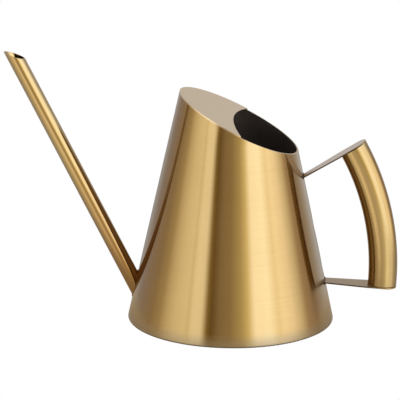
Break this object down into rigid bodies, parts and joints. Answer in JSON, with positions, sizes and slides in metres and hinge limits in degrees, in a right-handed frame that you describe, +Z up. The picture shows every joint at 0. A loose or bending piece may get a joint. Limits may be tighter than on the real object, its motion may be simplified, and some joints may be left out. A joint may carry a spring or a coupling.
{
  "type": "watering can",
  "caption": "Indoor watering can: conical body with a slanting half-covered top, long straight spout and curved tube handle on flat arms.",
  "frame": {"origin": "centre of the base circle, on the surface that the can stands on", "axes": "+Z up, -X towards the spout, +X towards the handle, XZ the plane of symmetry"},
  "size_m": [0.2477, 0.1296, 0.1684],
  "materials": {
    "body_sheet": "brushed around the body, near mirror",
    "cover_plate": "fine linear grain, satin",
    "tube": "polished with fine grain along the tube",
    "arm_plate": "fine linear grain, satin",
    "weld": "dressed and lightly darkened"
  },
  "bodies": {
    "root": {"body_shell": "body_sheet", "body_seam_weld": "weld", "base_plate": "body_sheet", "base_weld": "weld", "top_cover": "cover_plate", "cover_weld": "weld", "spout_tube": "tube", "spout_weld": "weld", "upper_arm": "arm_plate", "lower_arm": "arm_plate", "upper_arm_weld": "weld", "lower_arm_weld": "weld", "grip_tube": "tube", "grip_upper_weld": "weld", "grip_lower_weld": "weld"}
  },
  "joints": []
}
